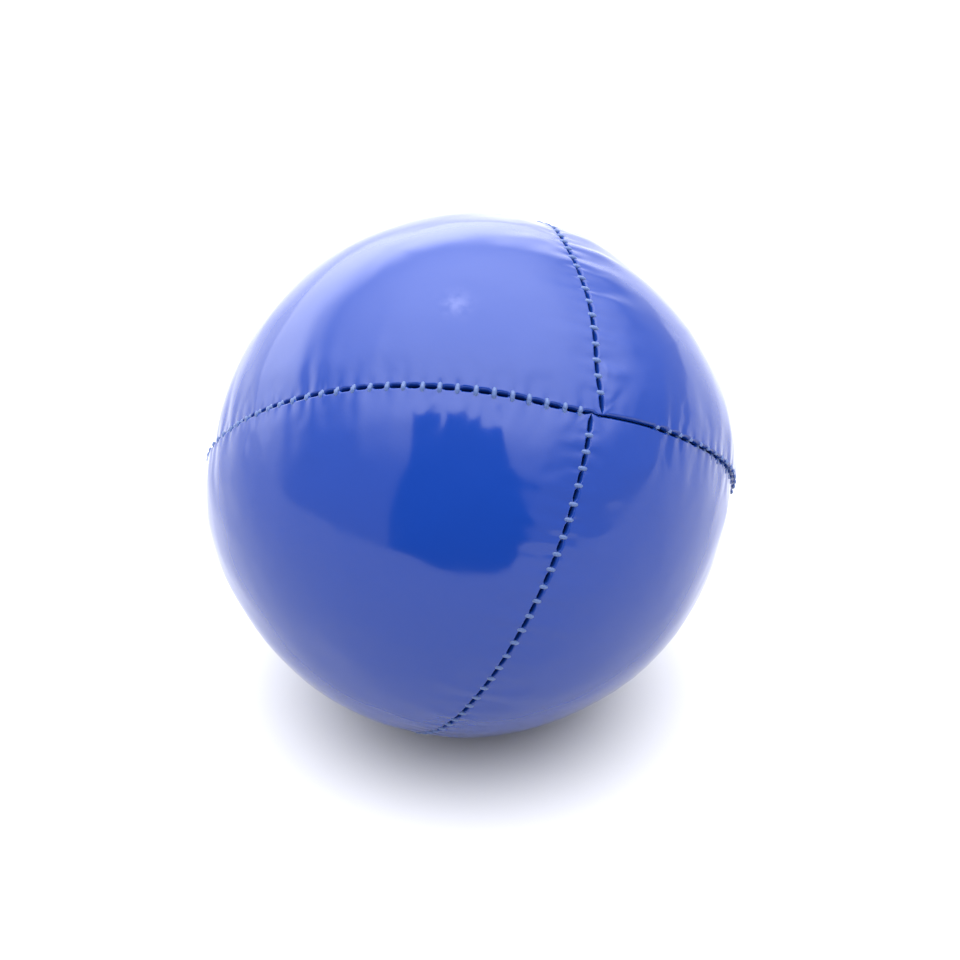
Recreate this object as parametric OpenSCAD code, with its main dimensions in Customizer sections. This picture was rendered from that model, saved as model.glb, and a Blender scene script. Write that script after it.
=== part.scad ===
// Juggling ball: four quarter-sphere panels of coated leathercloth, sewn inside out, turned,
// filled with seed and closed by hand.
//
// The ball rests on a small flat of its own making, and the origin is at the middle of that flat.
// Every seam is drawn in the seam frame, whose origin is the ball's centre. There the main seam
// lies in the XY plane, both ends of every panel lie on the X axis, the cross seams lie close to
// the XZ plane, and +Z is the upper half of the cover.

/* [Ball] */
// Diameter of the filled ball
ball_d = 65; // [60:0.5:75]
// Depth of the flat that the ball rests on
flat_sink = 1; // [0.6:0.1:1.4]

/* [Panels] */
// Thickness of the coated leathercloth
cloth = 0.9; // [0.7:0.05:1.1]
// Width of the seam allowance turned into the ball
allowance = 4; // [3:0.5:6]
// Depth of the groove along a seam
groove_depth = 0.85; // [0.6:0.05:1]
// Half the width of the groove along a seam
groove_reach = 1.2; // [0.9:0.1:1.5]
// Angle between the upper and lower cross seams
half_twist = 2.4; // [0:0.1:4]

/* [Stitching] */
// Stitches around the whole main seam
main_stitches = 97; // [80:1:110]
// Machine stitches along each cross seam
cross_stitches = 47; // [38:1:47]
// Hand stitches that close the filling gap
closing_stitches = 4; // [3:1:6]
// Thickness of the sewing thread
thread_d = 0.3; // [0.2:0.02:0.32]
// Depth of the stitch line below the cover
stitch_depth = 1.3; // [1.3:0.05:1.4]
// Clearance of a stitch hole around its thread
hole_clearance = 0.05; // [0.03:0.01:0.06]

/* [Hidden] */
$fn = 96;

UPPER = 1;
LOWER = -1;
RIGHT = 1;
LEFT = -1;

ball_r = ball_d / 2;
centre_z = ball_r - flat_sink;
lining_r = ball_r - cloth;
allowance_r = lining_r - allowance;
stitch_r = ball_r - stitch_depth;
hole_r = thread_d / 2 + hole_clearance;
// The cross allowances are trimmed here, so that the main seam's threads pass their corners
corner_trim = cloth + 2 * thread_d;
// The cross seams were sewn first and pull in less than the main seam
cross_share = 0.8;
fill_gap = 0.08;
channel_half = corner_trim - fill_gap;
main_pitch = 360 / main_stitches;
cross_step = main_pitch;
knot_r = thread_d;
big = 3 * ball_d;

// How the ball lies: the turn of the front crossing about the upright, its height above level,
// and the roll of the cover about its two crossings
pose_turn = -54;
pose_lift = 44;
pose_roll = -33;

vinyl = [0.18, 0.30, 0.72];
thread_colour = [0.10, 0.16, 0.45];
closing_colour = [0.07, 0.11, 0.34];
seed_colour = [0.85, 0.74, 0.48];

// Places what is drawn in the seam frame on the resting ball
module seam_frame() {
    translate([0, 0, centre_z])
        rotate([0, 0, pose_turn])
            rotate([0, -pose_lift, 0])
                rotate([pose_roll, 0, 0])
                    children();
}

// Turns the upper or lower half by its share of the twist between them
module half_frame(half) {
    rotate([0, 0, half * half_twist / 2]) children();
}

// The resting ball's shape, a distance inset under the cover, flat included. The sphere is
// turned so that its poles lie at the crossings and it closes on the far side from a panel
module ball_shape(inset, half, side) {
    intersection() {
        seam_frame() half_frame(half)
            rotate([-side * (90 - 45 * half), 0, 0])
                rotate([0, 90, 0])
                    sphere(r = ball_r - inset);
        translate([-big / 2, -big / 2, inset]) cube(big);
    }
}

// Everything more than edge above the main seam and out from the cross seam, on one side
module quarter_space(half, side, edge) {
    mirror([0, 0, half == UPPER ? 0 : 1])
        mirror([0, side == RIGHT ? 0 : 1, 0])
            translate([-big / 2, edge, edge]) cube(big);
}

// Axis along a cross seam's own ring, with the front crossing still at angle 0
module cross_ring(half) {
    rotate([90, 0, 0])
        mirror([0, half == UPPER ? 0 : 1, 0])
            children();
}

// Ring that rolls a panel's edge down into a seam that lies flat, for the side towards +Z
module rolled_edge_cut(depth, reach) {
    knee = depth * 0.6;
    rotate_extrude()
        polygon([[ball_r - depth - knee, -reach * 0.3], [ball_r - depth + knee, reach * 0.3],
                 [ball_r + 0.05, reach], [ball_r + 1, reach], [ball_r + 1, -reach * 0.3]]);
}

// One stitch hole through both allowances of a ring that lies flat
module stitch_hole(angle) {
    rotate([0, 0, angle])
        translate([stitch_r, 0, -2 * cloth])
            cylinder(h = 4 * cloth, r = hole_r, $fn = 24);
}

// Angle of a stitch around the main seam from the front crossing
function main_angle(i) = (i + 0.5) * main_pitch;

// Angle of a stitch along a cross seam from the front crossing
function cross_angle(i) = 90 + (i - (cross_stitches - 1) / 2) * cross_step;

// One panel: a quarter of the cover with its two allowances turned in
module panel(half, side) {
    color(vinyl)
    difference() {
        intersection() {
            ball_shape(0, half, side);
            seam_frame() half_frame(half) quarter_space(half, side, 0);
        }
        // Hollow for the filling, between the allowances
        intersection() {
            ball_shape(cloth, half, side);
            seam_frame() half_frame(half) quarter_space(half, side, cloth);
        }
        // Corner trimmed off the cross allowance beside the main seam
        intersection() {
            ball_shape(cloth, half, side);
            seam_frame()
                translate([-big / 2, -big / 2, half == UPPER ? cloth : -corner_trim])
                    cube([big, big, corner_trim - cloth]);
        }
        // Inner edge of both allowances
        seam_frame() sphere(r = allowance_r);
        // Rolled edges, deeper along the main seam, with each ring closed outside the panel
        seam_frame()
            mirror([0, 0, half == UPPER ? 0 : 1])
                rotate([0, 0, -90 * side])
                    rolled_edge_cut(groove_depth, groove_reach);
        seam_frame() half_frame(half)
            rotate([-90 * side, 0, 0])
                rotate([0, 0, 90 * half * side])
                    rolled_edge_cut(groove_depth * cross_share, groove_reach * cross_share);
        // Stitch holes
        seam_frame()
            for (i = [0 : main_stitches - 1])
                stitch_hole(main_angle(i));
        seam_frame() half_frame(half) cross_ring(half)
            for (i = [0 : cross_stitches - 1])
                stitch_hole(cross_angle(i));
    }
}

// Flat-bottomed run of thread on a panel's back, from one angle to another
module thread_run(from, to) {
    half_w = thread_d / 2 + 0.03;
    soft = thread_d * 0.25;
    rotate([0, 0, from])
        rotate_extrude(angle = to - from)
            translate([stitch_r, cloth])
                polygon([[-half_w, 0], [half_w, 0], [half_w, thread_d - soft],
                         [half_w - soft, thread_d], [soft - half_w, thread_d],
                         [-half_w, thread_d - soft]]);
}

// Loop of thread that goes down a stitch hole to the middle of the seam
module thread_loop(angle) {
    rotate([0, 0, angle])
        translate([stitch_r, 0, 0])
            cylinder(h = cloth + thread_d / 2, r = thread_d / 2, $fn = 24);
}

// Thread along one side of the main seam, from the first machine stitch round to the last
module main_thread(side_of_seam) {
    first = main_angle(closing_stitches);
    last = main_angle(main_stitches - 1);
    color(thread_colour)
    seam_frame() mirror([0, 0, side_of_seam == UPPER ? 0 : 1]) {
        thread_run(first - main_pitch / 4, last + main_pitch / 4);
        for (i = [closing_stitches : main_stitches - 1])
            thread_loop(main_angle(i));
    }
}

// Thread along one side of a cross seam
module cross_thread(half, side_of_seam) {
    first = cross_angle(0);
    last = cross_angle(cross_stitches - 1);
    color(thread_colour)
    seam_frame() half_frame(half) cross_ring(half)
        mirror([0, 0, side_of_seam == LEFT ? 0 : 1]) {
            thread_run(first - main_pitch / 4, last + main_pitch / 4);
            for (i = [0 : cross_stitches - 1])
                thread_loop(cross_angle(i));
        }
}

// Hand-sewn ladder stitch across the gap that the ball was filled through, knotted at both ends
module closing_thread() {
    color(closing_colour)
    seam_frame() {
        for (i = [0 : closing_stitches - 1])
            rotate([0, 0, main_angle(i)])
                translate([stitch_r, 0, -cloth - thread_d / 2])
                    cylinder(h = 2 * cloth + thread_d, r = thread_d / 2, $fn = 24);
        for (i = [0 : closing_stitches - 2])
            mirror([0, 0, i % 2])
                thread_run(main_angle(i) - 0.3, main_angle(i + 1) + 0.3);
        for (i = [0, closing_stitches - 1])
            rotate([0, 0, main_angle(i)])
                translate([stitch_r, 0, -cloth - 1.25 * thread_d])
                    cylinder(h = 1.25 * thread_d, r = knot_r, $fn = 24);
    }
}

// Ring-shaped room in the filling for a seam's allowances and threads
module seam_channel() {
    rotate_extrude()
        translate([allowance_r - fill_gap, -channel_half])
            square([ball_r, 2 * channel_half]);
}

// Bed of seed that fills the cover, channelled where the allowances stand into it
module seed_fill() {
    color(seed_colour)
    difference() {
        ball_shape(cloth + fill_gap, UPPER, RIGHT);
        seam_frame() seam_channel();
        for (half = [UPPER, LOWER])
            intersection() {
                seam_frame() half_frame(half) rotate([90, 0, 0]) seam_channel();
                seam_frame()
                    translate([-big / 2, -big / 2, half == UPPER ? 0 : -big])
                        cube(big);
            }
    }
}

panel(UPPER, LEFT);  // upper_left_panel
panel(UPPER, RIGHT);  // upper_right_panel
panel(LOWER, LEFT);  // lower_left_panel
panel(LOWER, RIGHT);  // lower_right_panel
main_thread(UPPER);  // main_seam_needle_thread
main_thread(LOWER);  // main_seam_bobbin_thread
cross_thread(UPPER, RIGHT);  // upper_cross_needle_thread
cross_thread(UPPER, LEFT);  // upper_cross_bobbin_thread
cross_thread(LOWER, RIGHT);  // lower_cross_needle_thread
cross_thread(LOWER, LEFT);  // lower_cross_bobbin_thread
closing_thread();
seed_fill();
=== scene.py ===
"""Juggling ball: four glossy leathercloth panels, sewn, turned, filled with seed and hand-closed.

The seams are worked out in the seam frame, whose origin is the ball's centre. The main seam lies
in its XY plane, the cross seams run through its Z axis, and the panels' points meet on its X axis.
Every length is in metres and every angle in radians, unless its name says otherwise.
"""

import logging
import math
from dataclasses import dataclass, field
from enum import Enum
from typing import Any, ClassVar

import bmesh
import bpy
from mathutils import Matrix, Vector


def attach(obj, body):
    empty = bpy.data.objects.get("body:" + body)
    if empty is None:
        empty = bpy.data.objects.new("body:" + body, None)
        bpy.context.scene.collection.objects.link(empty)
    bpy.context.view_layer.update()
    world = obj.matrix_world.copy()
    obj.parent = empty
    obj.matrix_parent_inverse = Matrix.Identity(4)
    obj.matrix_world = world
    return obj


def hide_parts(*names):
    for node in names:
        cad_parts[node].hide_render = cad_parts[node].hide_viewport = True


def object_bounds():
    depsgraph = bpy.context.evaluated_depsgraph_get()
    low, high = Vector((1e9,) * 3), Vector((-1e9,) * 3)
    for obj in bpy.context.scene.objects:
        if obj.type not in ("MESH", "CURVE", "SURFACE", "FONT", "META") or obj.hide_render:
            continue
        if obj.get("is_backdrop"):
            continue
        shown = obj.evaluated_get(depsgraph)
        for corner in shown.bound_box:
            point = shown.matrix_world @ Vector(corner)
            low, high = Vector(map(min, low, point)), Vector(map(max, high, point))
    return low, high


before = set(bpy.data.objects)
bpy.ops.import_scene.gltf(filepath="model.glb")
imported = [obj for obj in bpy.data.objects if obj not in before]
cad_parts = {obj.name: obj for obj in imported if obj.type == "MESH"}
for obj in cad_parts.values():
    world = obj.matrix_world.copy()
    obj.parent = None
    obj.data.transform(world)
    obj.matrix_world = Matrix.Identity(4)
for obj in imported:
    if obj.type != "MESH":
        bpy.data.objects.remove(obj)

LOG = logging.getLogger("juggling_ball")
MM = 0.001
BODY = "root"
Colour = tuple[float, float, float]


class Half(Enum):
    """The half of the cover above or below the main seam."""

    UPPER = 1
    LOWER = -1


class Side(Enum):
    """The side of the cross seams that a panel lies on."""

    LEFT = -1
    RIGHT = 1


class Seam(Enum):
    """The seams of the cover."""

    MAIN = "main_seam"
    UPPER_CROSS = "upper_cross"
    LOWER_CROSS = "lower_cross"


class Field:
    """A number, vector or colour on a link of a node tree, with the usual operators.

    Args:
        tree: The tree that new nodes are added to.
        socket: The output socket that carries the value.
    """

    def __init__(self, tree: "Tree", socket: bpy.types.NodeSocket) -> None:
        """Wraps one output socket."""
        self.tree = tree
        self.socket = socket

    def _do(self, operation: str, *values: Any) -> "Field":
        """Adds a maths node, on vectors where any value is one.

        Args:
            operation: The node's operation.
            values: Its values, in order.

        Returns:
            The node's result.
        """
        if any(isinstance(v, Field) and v.socket.type == "VECTOR" for v in values):
            return self.tree.vector_math(operation, *values)
        return self.tree.math(operation, *values)

    def __add__(self, other: Any) -> "Field":
        """Adds."""
        return self._do("ADD", self, other)

    def __radd__(self, other: Any) -> "Field":
        """Adds from the left."""
        return self._do("ADD", other, self)

    def __sub__(self, other: Any) -> "Field":
        """Subtracts."""
        return self._do("SUBTRACT", self, other)

    def __rsub__(self, other: Any) -> "Field":
        """Subtracts from what stands on the left."""
        return self._do("SUBTRACT", other, self)

    def __mul__(self, other: Any) -> "Field":
        """Multiplies."""
        return self._do("MULTIPLY", self, other)

    def __rmul__(self, other: Any) -> "Field":
        """Multiplies from the left."""
        return self._do("MULTIPLY", other, self)

    def __truediv__(self, other: Any) -> "Field":
        """Divides."""
        return self._do("DIVIDE", self, other)

    def __rtruediv__(self, other: Any) -> "Field":
        """Divides what stands on the left."""
        return self._do("DIVIDE", other, self)

    def __pow__(self, other: Any) -> "Field":
        """Raises to a power."""
        return self.tree.math("POWER", self, other)

    def __neg__(self) -> "Field":
        """Negates."""
        return self._do("MULTIPLY", self, -1.0)

    def sin(self) -> "Field":
        """Sine of an angle."""
        return self.tree.math("SINE", self)

    def cos(self) -> "Field":
        """Cosine of an angle."""
        return self.tree.math("COSINE", self)

    def sqrt(self) -> "Field":
        """Square root, of nothing less than zero."""
        return self.tree.math("SQRT", self.at_least(0.0))

    def at_least(self, low: Any) -> "Field":
        """The larger of this and low."""
        return self.tree.math("MAXIMUM", self, low)

    def at_most(self, high: Any) -> "Field":
        """The smaller of this and high."""
        return self.tree.math("MINIMUM", self, high)

    def clamped(self) -> "Field":
        """Kept between 0 and 1."""
        return self.at_least(0.0).at_most(1.0)

    def magnitude(self) -> "Field":
        """Value without its sign."""
        return self.tree.math("ABSOLUTE", self)

    def bell(self, width: Any) -> "Field":
        """Bell curve of this value: 1 at 0, falling away past the width."""
        scaled = self / width
        return self.tree.math("POWER", math.e, -(scaled * scaled))

    def rise(self, low: Any, high: Any) -> "Field":
        """Smooth rise from 0 at low to 1 at high."""
        return self.tree.node(
            "ShaderNodeMapRange",
            {"interpolation_type": "SMOOTHSTEP"},
            {"Value": self, "From Min": low, "From Max": high},
        )

    def parts(self) -> tuple["Field", "Field", "Field"]:
        """The X, Y and Z of a vector."""
        node = self.tree.add("ShaderNodeSeparateXYZ", {}, {0: self})
        return tuple(Field(self.tree, node.outputs[i]) for i in range(3))


class Tree:
    """Builds a node tree in code.

    Args:
        tree: The shader or geometry tree to add nodes to.
    """

    def __init__(self, tree: bpy.types.NodeTree) -> None:
        """Wraps a tree."""
        self.tree = tree

    def add(self, kind: str, settings: dict[str, Any], values: dict[Any, Any]) -> bpy.types.Node:
        """Adds a node.

        Args:
            kind: The node's type.
            settings: Properties such as its operation, set first.
            values: The values or links of its inputs, by name or number.

        Returns:
            The new node.
        """
        node = self.tree.nodes.new(kind)
        for name, value in settings.items():
            setattr(node, name, value)
        for key, value in values.items():
            if isinstance(value, Field):
                self.tree.links.new(value.socket, node.inputs[key])
            else:
                node.inputs[key].default_value = value
        return node

    def node(
        self, kind: str, settings: dict[str, Any], values: dict[Any, Any], output: Any = 0
    ) -> Field:
        """Adds a node and returns one of its outputs.

        Args:
            kind: The node's type.
            settings: Properties, set first.
            values: The values or links of its inputs.
            output: The output's name or number.

        Returns:
            That output.
        """
        return Field(self, self.add(kind, settings, values).outputs[output])

    def math(self, operation: str, *values: Any) -> Field:
        """Adds a Math node on numbers."""
        return self.node("ShaderNodeMath", {"operation": operation}, dict(enumerate(values)))

    def vector_math(self, operation: str, *values: Any) -> Field:
        """Adds a Vector Math node, with a plain number spread over the three parts."""
        spread = [(v, v, v) if isinstance(v, (int, float)) else v for v in values]
        return self.node("ShaderNodeVectorMath", {"operation": operation}, dict(enumerate(spread)))

    def vector(self, x: Any, y: Any, z: Any) -> Field:
        """Joins three numbers into a vector."""
        return self.node("ShaderNodeCombineXYZ", {}, {0: x, 1: y, 2: z})

    def choose(self, share: Any, first: Any, second: Any) -> Field:
        """Mixes two numbers: first where share is 0, second where it is 1."""
        return (second - first) * share + first

    def mix_colour(self, share: Any, first: Any, second: Any) -> Field:
        """Mixes two colours, each a link or three numbers, through a Mix node.

        Args:
            share: How much of the second colour.
            first: The first colour.
            second: The second colour.

        Returns:
            The mixed colour.
        """
        pair = [value if isinstance(value, Field) else (*value, 1.0) for value in (first, second)]
        return self.node(
            "ShaderNodeMix", {"data_type": "RGBA"}, {0: share, 6: pair[0], 7: pair[1]}, 2
        )

    def shades(self, share: Any, colour: Colour, dark: float, light: float) -> Field:
        """Mixes a darker and a lighter shade of one colour.

        Args:
            share: 0 for the darker shade and 1 for the lighter.
            colour: The colour itself.
            dark: What the darker shade multiplies it by.
            light: What the lighter shade multiplies it by.

        Returns:
            The mixed colour.
        """
        return self.mix_colour(share, [c * dark for c in colour], [c * light for c in colour])

    def between(self, first: Any, second: Any, operation: str) -> Field:
        """Distance or dot product of two vectors, which Vector Math gives as a number."""
        return self.node("ShaderNodeVectorMath", {"operation": operation}, {0: first, 1: second}, 1)

    def noise(self, place: Any, scale: float, detail: float = 2.0, seed: float = 0.0) -> Field:
        """Noise from 0 to 1 at a place.

        Args:
            place: The vector to read it at.
            scale: How many features there are to a metre.
            detail: How many finer layers are added.
            seed: Which noise.

        Returns:
            The noise, 0.5 on average.
        """
        return self.node(
            "ShaderNodeTexNoise",
            {"noise_dimensions": "4D"},
            {"Vector": place, "W": seed, "Scale": scale, "Detail": detail},
        )


class Workshop(Tree):
    """A geometry tree with named inputs, which makes one plain mesh.

    Args:
        name: The tree's name.
    """

    SOCKETS: ClassVar[dict[type, str]] = {float: "NodeSocketFloat", int: "NodeSocketInt"}

    def __init__(self, name: str) -> None:
        """Starts an empty tree."""
        super().__init__(bpy.data.node_groups.new(name, "GeometryNodeTree"))
        self.inputs = self.tree.nodes.new("NodeGroupInput")
        self.values: dict[str, Any] = {}
        self.tree.interface.new_socket("Mesh", in_out="OUTPUT", socket_type="NodeSocketGeometry")

    def size(self, name: str, value: float | int) -> Field:
        """Declares a named input.

        Args:
            name: The input's name.
            value: The value that it gets on the piece.

        Returns:
            The input as a field.
        """
        self.tree.interface.new_socket(
            name, in_out="INPUT", socket_type=self.SOCKETS[type(value)]
        )
        self.values[name] = value
        return Field(self, self.inputs.outputs[name])

    def place(self, mesh: Field, position: Field) -> Field:
        """Moves the points of a mesh."""
        return self.node("GeometryNodeSetPosition", {}, {"Geometry": mesh, "Position": position})

    def keep(self, mesh: Field, name: str, value: Field) -> Field:
        """Stores a number on the points of a mesh, for its material to read."""
        return self.node(
            "GeometryNodeStoreNamedAttribute",
            {"data_type": "FLOAT", "domain": "POINT"},
            {"Geometry": mesh, "Name": name, "Value": value},
        )

    def here(self) -> Field:
        """The place of each point."""
        return self.node("GeometryNodeInputPosition", {}, {})

    def join(self, *meshes: Field) -> Field:
        """Joins meshes into one.

        Args:
            meshes: The meshes to join.

        Returns:
            The joined mesh.
        """
        node = self.tree.nodes.new("GeometryNodeJoinGeometry")
        for mesh in meshes:
            self.tree.links.new(mesh.socket, node.inputs[0])
        return Field(self, node.outputs[0])

    def finish(self, mesh: Field, material: bpy.types.Material, name: str) -> bpy.types.Object:
        """Closes the tree, runs it, and returns its result as a plain object.

        Args:
            mesh: The geometry to hand over.
            material: Its material.
            name: The new object's name.

        Returns:
            An object at the origin whose mesh holds the result.
        """
        real = self.node("GeometryNodeRealizeInstances", {}, {0: mesh})
        dressed = self.node("GeometryNodeSetMaterial", {}, {"Geometry": real, "Material": material})
        out = self.tree.nodes.new("NodeGroupOutput")
        self.tree.links.new(dressed.socket, out.inputs[0])
        maker = bpy.data.objects.new(name, bpy.data.meshes.new(name))
        bpy.context.scene.collection.objects.link(maker)
        modifier = maker.modifiers.new("Making", "NODES")
        modifier.node_group = self.tree
        for item in self.tree.interface.items_tree:
            if item.item_type == "SOCKET" and item.in_out == "INPUT":
                modifier[item.identifier] = self.values[item.name]
        graph = bpy.context.evaluated_depsgraph_get()
        result = bpy.data.meshes.new_from_object(maker.evaluated_get(graph))
        maker.modifiers.remove(modifier)
        maker.data = result
        return maker


def ring(tree: Workshop, radius: Any, facets: int) -> Field:
    """A circle to sweep along a curve."""
    return tree.node(
        "GeometryNodeCurvePrimitiveCircle", {}, {"Resolution": facets, "Radius": radius}
    )


def sweep(tree: Workshop, curve: Field, profile: Field) -> Field:
    """A round bar along a curve, with closed ends."""
    return tree.node(
        "GeometryNodeCurveToMesh", {}, {"Curve": curve, "Profile Curve": profile, "Fill Caps": True}
    )


def turned(point: Field, turn: Matrix) -> list[Field]:
    """The X, Y and Z of a point after a turn about the origin."""
    x, y, z = point.parts()
    return [x * turn[i][0] + y * turn[i][1] + z * turn[i][2] for i in range(3)]


def new_object(name: str, work: bmesh.types.BMesh) -> bpy.types.Object:
    """Makes an object in the scene from a working mesh.

    Args:
        name: The name of the object and of its mesh.
        work: The working mesh, which is freed.

    Returns:
        The new object.
    """
    mesh = bpy.data.meshes.new(name)
    work.to_mesh(mesh)
    work.free()
    made = bpy.data.objects.new(name, mesh)
    bpy.context.scene.collection.objects.link(made)
    return made


def new_material(name: str) -> tuple[bpy.types.Material, Tree, bpy.types.Node]:
    """Starts a material.

    Args:
        name: Its name.

    Returns:
        The material, its tree and its Principled shader.
    """
    material = bpy.data.materials.new(name)
    material.use_nodes = True
    return material, Tree(material.node_tree), material.node_tree.nodes["Principled BSDF"]


def dress(tree: Tree, shader: bpy.types.Node, looks: dict[str, Any]) -> None:
    """Gives a shader its looks.

    Args:
        tree: The shader's tree.
        shader: The shader.
        looks: A field or a plain value for each input that is set.
    """
    for name, value in looks.items():
        if isinstance(value, Field):
            tree.tree.links.new(value.socket, shader.inputs[name])
        else:
            shader.inputs[name].default_value = value


def close_up(piece: bpy.types.Object, gap: float) -> None:
    """Merges a piece's doubled points, turns its faces outwards and shades it smooth.

    Args:
        piece: The piece to finish.
        gap: Points nearer than this become one.
    """
    work = bmesh.new()
    work.from_mesh(piece.data)
    bmesh.ops.remove_doubles(work, verts=work.verts, dist=gap)
    bmesh.ops.dissolve_degenerate(work, edges=work.edges, dist=gap / 4)
    bmesh.ops.recalc_face_normals(work, faces=work.faces)
    for face in work.faces:
        face.smooth = True
    work.to_mesh(piece.data)
    work.free()


@dataclass(frozen=True)
class Fold:
    """A soft fold in one panel, running out from its cross seam.

    Args:
        along: Angle along the cross seam from the front crossing.
        width: How wide the fold is along the seam.
        reach: How far it runs out from the seam.
        height: How high it stands.
    """

    along: float
    width: float
    reach: float
    height: float


@dataclass(frozen=True)
class Lay:
    """How the sewn ball lies: its attitude, and how far its seams wander from true circles.

    Every piece is made in the seam frame and then laid by the same fields, so that panels,
    stitches and threads stay together.

    Args:
        centre: The ball's centre in the row frame.
        radius: The ball's radius.
        turn: Turn of the front crossing about the upright.
        lift: Angle of the front crossing above level.
        roll: Roll of the cover about its two crossings.
        twist: Angle between the upper and lower cross seams.
        half_shift: How far the upper half stands out on the right and in on the left, as the
            camera sees it, and the lower half the other way about.
        tuck: How far the cover tucks in at its seams where no cloth is simulated.
        seam_width: How far from a seam its tuck reaches, and its hold on the bumps.
        bump: Height of the small bumps that the filling makes.
        bump_scale: How many bumps there are to a metre.
        bump_lost_at_seams: How much of the bumps the seams flatten.
        swell: Height of the broad swells.
        swell_scale: How many swells there are to a metre.
        fade: How far from a seam the cover follows its wandering.
        flat_edge: How softly the cover turns onto its flat.
        flat_share: How much of that softness is taken off the height again.
        gauge: The simulated cover whose relief the pieces take, where there is one.
        gauge_share: How much of its relief they take.
    """

    centre: Vector
    radius: float
    turn: float = math.radians(-54)
    lift: float = math.radians(44)
    roll: float = math.radians(-33)
    twist: float = math.radians(2.4)
    half_shift: float = 0.27 * MM
    tuck: float = 0.13 * MM
    seam_width: float = 2.2 * MM
    bump: float = 0.34 * MM
    bump_scale: float = 130.0
    bump_lost_at_seams: float = 0.6
    swell: float = 1.1 * MM
    swell_scale: float = 36.0
    fade: float = 14 * MM
    flat_edge: float = 0.5 * MM
    flat_share: float = 0.18
    gauge: bpy.types.Object | None = None
    gauge_share: float = 0.32

    def attitude(self) -> Matrix:
        """Turns the seam frame into the row frame, without the centre's height."""
        return (
            Matrix.Rotation(self.turn, 3, "Z")
            @ Matrix.Rotation(-self.lift, 3, "Y")
            @ Matrix.Rotation(self.roll, 3, "X")
        )

    def in_half(self, tree: Tree, point: Field, up: int) -> Field:
        """Bends the cross seam of a half and turns the half by its share of the twist.

        Args:
            tree: The tree that the piece is made in.
            point: Places in the half's own frame.
            up: 1 for the upper half and -1 for the lower.

        Returns:
            Places in the seam frame.
        """
        x, y, z = point.parts()
        along = tree.math("ARCTAN2", z * up, x).magnitude()
        y = y + self.cross_bow(along, up) * y.bell(self.fade)
        cosine, sine = math.cos(self.twist / 2), math.sin(self.twist / 2) * up
        return tree.vector(x * cosine - y * sine, x * sine + y * cosine, z)

    def lay(self, tree: Tree, point: Field, up: int) -> Field:
        """Lays points of the seam frame on the resting ball.

        Args:
            tree: The tree that the piece is made in.
            point: Places in the seam frame.
            up: 1 for the upper half and -1 for the lower.

        Returns:
            Places in the row frame.
        """
        x, y, z = point.parts()
        share = self.relief(tree, point, up)
        z = z + self.main_bow(tree.math("ARCTAN2", y, x)) * z.bell(self.fade)
        x, y, z = (part * share for part in turned(tree.vector(x, y, z), self.attitude()))
        return self.settled(tree, x, y, z + self.centre.z)

    def relief(self, tree: Tree, point: Field, up: int) -> Field:
        """Finds how the filling, the seams and the two halves push the cover out or pull it in.

        Args:
            tree: The tree that the piece is made in.
            point: Places in the seam frame.
            up: 1 for the upper half and -1 for the lower.

        Returns:
            What to multiply each place's distance from the centre by.
        """
        _, y, z = point.parts()
        bumps = tree.noise(point, self.bump_scale, 1.5, 3.0) - 0.5
        swell = tree.noise(point, self.swell_scale, 1.0, 8.0) - 0.5
        near = 1.0 - (1.0 - y.bell(self.seam_width)) * (1.0 - z.bell(self.seam_width))
        out = bumps * (1.0 - self.bump_lost_at_seams * near) * self.bump + swell * self.swell
        out = out - (near * self.tuck if self.gauge is None else self.pulled_in(tree, point))
        slide = self.attitude().transposed() @ Vector((1, 0, 0))
        slide.z = 0.0
        lean = tree.between(point, slide.normalized(), "DOT_PRODUCT")
        return (out + lean * (up * self.half_shift / self.radius)) / self.radius + 1.0

    def pulled_in(self, tree: Tree, point: Field) -> Field:
        """Reads off how far the simulated cloth is pulled in by its stitches.

        Args:
            tree: The tree that the piece is made in.
            point: Places in the seam frame, read in their direction from the centre.

        Returns:
            The pieces' share of the cloth's depth below the ball's radius.
        """
        shape = tree.node(
            "GeometryNodeObjectInfo", {"transform_space": "ORIGINAL"}, {"Object": self.gauge}, "Geometry"
        )
        reach = tree.node(
            "GeometryNodeRaycast",
            {},
            {
                "Target Geometry": shape,
                "Source Position": tree.vector(0.0, 0.0, 0.0),
                "Ray Direction": point,
                "Ray Length": 2 * self.radius,
            },
            "Hit Distance",
        )
        return (self.radius - reach) * self.gauge_share

    def main_bow(self, along: Field) -> Field:
        """Finds how far the main seam wanders from its true circle.

        Args:
            along: Angle from the front crossing, rising to the right.

        Returns:
            Its height above the circle.
        """
        jog = (along + 0.07).bell(0.21) * (-0.55 * MM)
        right = along.rise(0.09, 1.13) * (1.6 * MM)
        left = (-along).rise(0.61, 1.83) * (-2.1 * MM)
        return jog + (right + left) * (1.0 - along.magnitude().rise(1.9, 2.97))

    def cross_bow(self, along: Field, up: int) -> Field:
        """Finds how far a cross seam wanders from its true circle.

        Args:
            along: Angle from the front crossing.
            up: 1 for the upper seam and -1 for the lower.

        Returns:
            How far it lies to the right of the circle.
        """
        if up > 0:
            late = (along - 1.10).bell(0.14) * (0.8 * MM)
            dent = (along - 0.73).bell(0.21) * (-0.35 * MM)
            return along.bell(0.12) * (0.9 * MM) + dent + late - along.sin() * (0.57 * MM)
        wave = (along * 2.0).cos() * (1.0 * MM) - (along * 2.0).sin() * (0.5 * MM)
        return wave + along.sin() * (0.57 * MM)

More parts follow.
